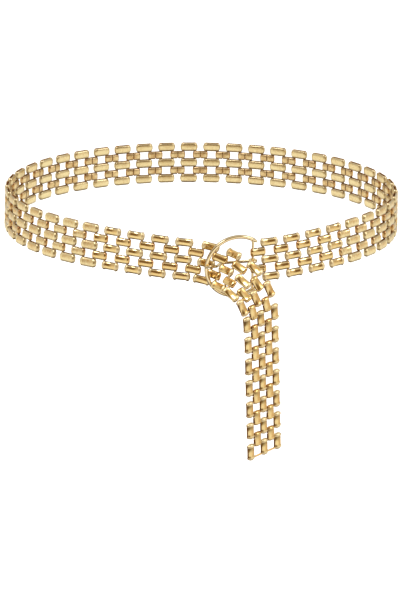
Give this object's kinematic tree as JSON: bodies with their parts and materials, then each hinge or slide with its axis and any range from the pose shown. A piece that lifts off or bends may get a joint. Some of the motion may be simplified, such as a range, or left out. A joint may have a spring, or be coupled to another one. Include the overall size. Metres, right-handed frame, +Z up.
{
  "type": "waist chain",
  "caption": "Gold chain belt of folded brick links in rows, worn round the waist, fastened by a wire ring with a bar and a prong, with the free end hanging down.",
  "frame": {"origin": "middle of the waist loop, at half the belt's width, where the waist passes through it", "axes": "+Z up along the waist, -Y out of the front where the buckle is, +X to the right as seen from the front"},
  "size_m": [0.2519, 0.2235, 0.1468],
  "materials": {
    "gold_links": "polished yellow gold plate on brass links, softer at the sides",
    "pale_gold_wire": "polished pale gold plate on brass wire"
  },
  "bodies": {
    "root": {"waist_chain": "gold_links", "tail_chain": "gold_links", "buckle_ring": "pale_gold_wire", "prong": "pale_gold_wire"}
  },
  "joints": []
}
